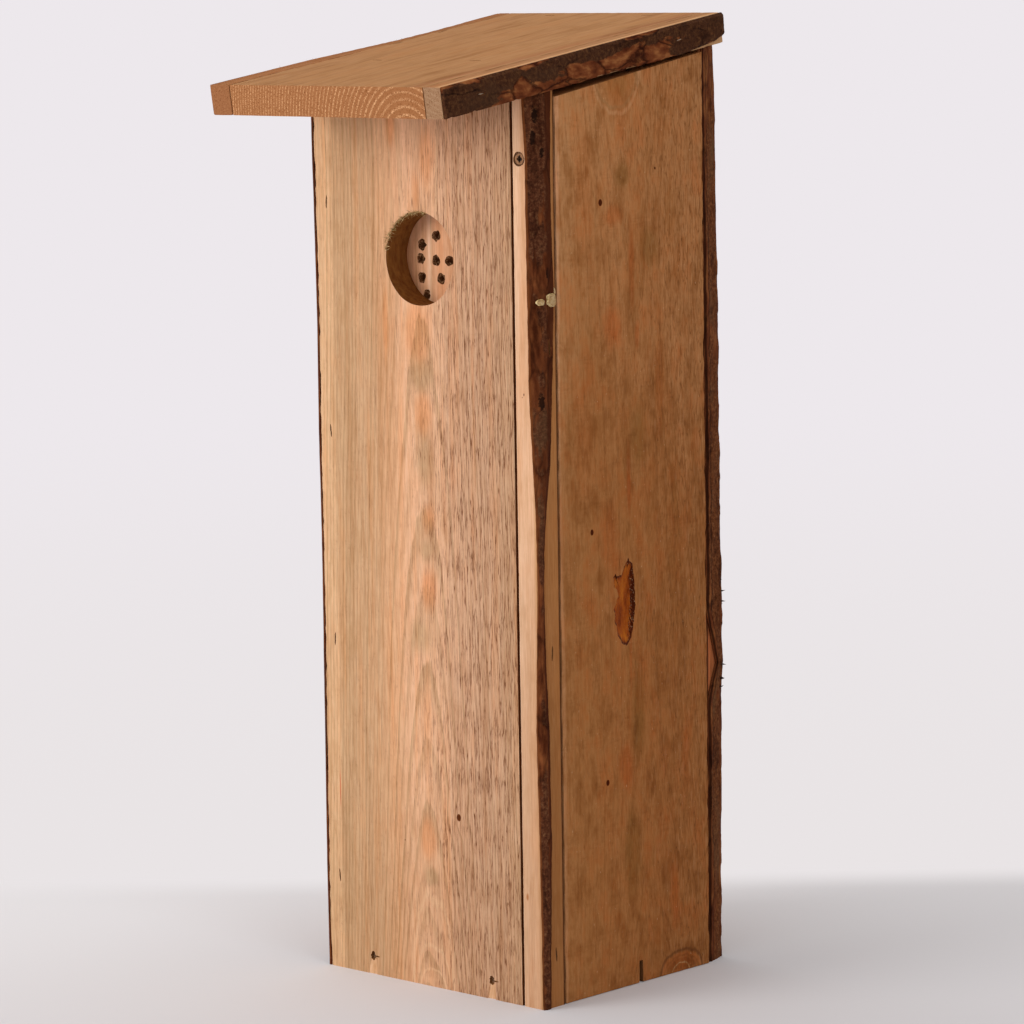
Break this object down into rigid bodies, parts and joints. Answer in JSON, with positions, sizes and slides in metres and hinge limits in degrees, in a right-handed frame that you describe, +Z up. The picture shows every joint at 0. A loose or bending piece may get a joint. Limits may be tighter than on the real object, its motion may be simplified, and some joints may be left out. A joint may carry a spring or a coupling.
{
  "type": "woodpecker nest box",
  "caption": "Wooden nest box for woodpeckers: waney-edged boards, sloping roof, round entrance closed by a block with pilot holes, and a side door that swings up on pivot screws.",
  "frame": {"origin": "underside of the floor board, at the middle of the box's footprint (width and depth without the roof overhang)", "axes": "+Z up, -Y the side with the entrance, +X the side with the door"},
  "size_m": [0.1722, 0.2226, 0.5243],
  "materials": {
    "rough_sawn_softwood": "rough-sawn, untreated",
    "pale_sapwood": "sawn, untreated",
    "bark": "rough natural bark",
    "dull_steel": "dull wire and nail steel",
    "zinc_plated_steel": "yellow zinc plating"
  },
  "bodies": {
    "box": {"back_board": "rough_sawn_softwood", "back_board_bark": "bark", "back_staple_1": "dull_steel", "back_staple_2": "dull_steel", "back_staple_3": "dull_steel", "back_staple_4": "dull_steel", "corner_strip": "pale_sapwood", "corner_strip_bark": "bark", "entrance_plug": "pale_sapwood", "floor_board": "rough_sawn_softwood", "floor_nail_back_1": "dull_steel", "floor_nail_back_2": "dull_steel", "floor_nail_front_1": "dull_steel", "floor_nail_front_2": "dull_steel", "front_board": "rough_sawn_softwood", "front_board_bark": "bark", "front_staple_1": "dull_steel", "front_staple_2": "dull_steel", "front_staple_3": "dull_steel", "front_staple_4": "dull_steel", "left_wall": "rough_sawn_softwood", "plug_staple_1": "dull_steel", "plug_staple_2": "dull_steel", "roof_board": "rough_sawn_softwood", "roof_left_staple_1": "dull_steel", "roof_left_staple_2": "dull_steel", "roof_right_staple_1": "dull_steel", "roof_right_staple_2": "dull_steel", "roof_strip_bark": "bark", "roof_strip_left": "pale_sapwood", "roof_strip_right": "pale_sapwood", "roof_top_staple_1": "dull_steel", "roof_top_staple_2": "dull_steel", "roof_top_staple_3": "dull_steel", "roof_top_staple_4": "dull_steel", "roof_top_staple_5": "dull_steel", "roof_top_staple_6": "dull_steel", "strip_staple_1": "dull_steel", "strip_staple_2": "dull_steel", "strip_staple_3": "dull_steel"},
    "door": {"side_door": "rough_sawn_softwood", "pivot_screw_front": "zinc_plated_steel", "pivot_screw_rear": "zinc_plated_steel"}
  },
  "joints": [
    {"name": "door_pivot", "type": "hinge", "parent": "box", "child": "door", "pos_m": [0.0714, 0, 0.4515], "axis": [0, -1, 0], "range_deg": [0, 140]}
  ]
}
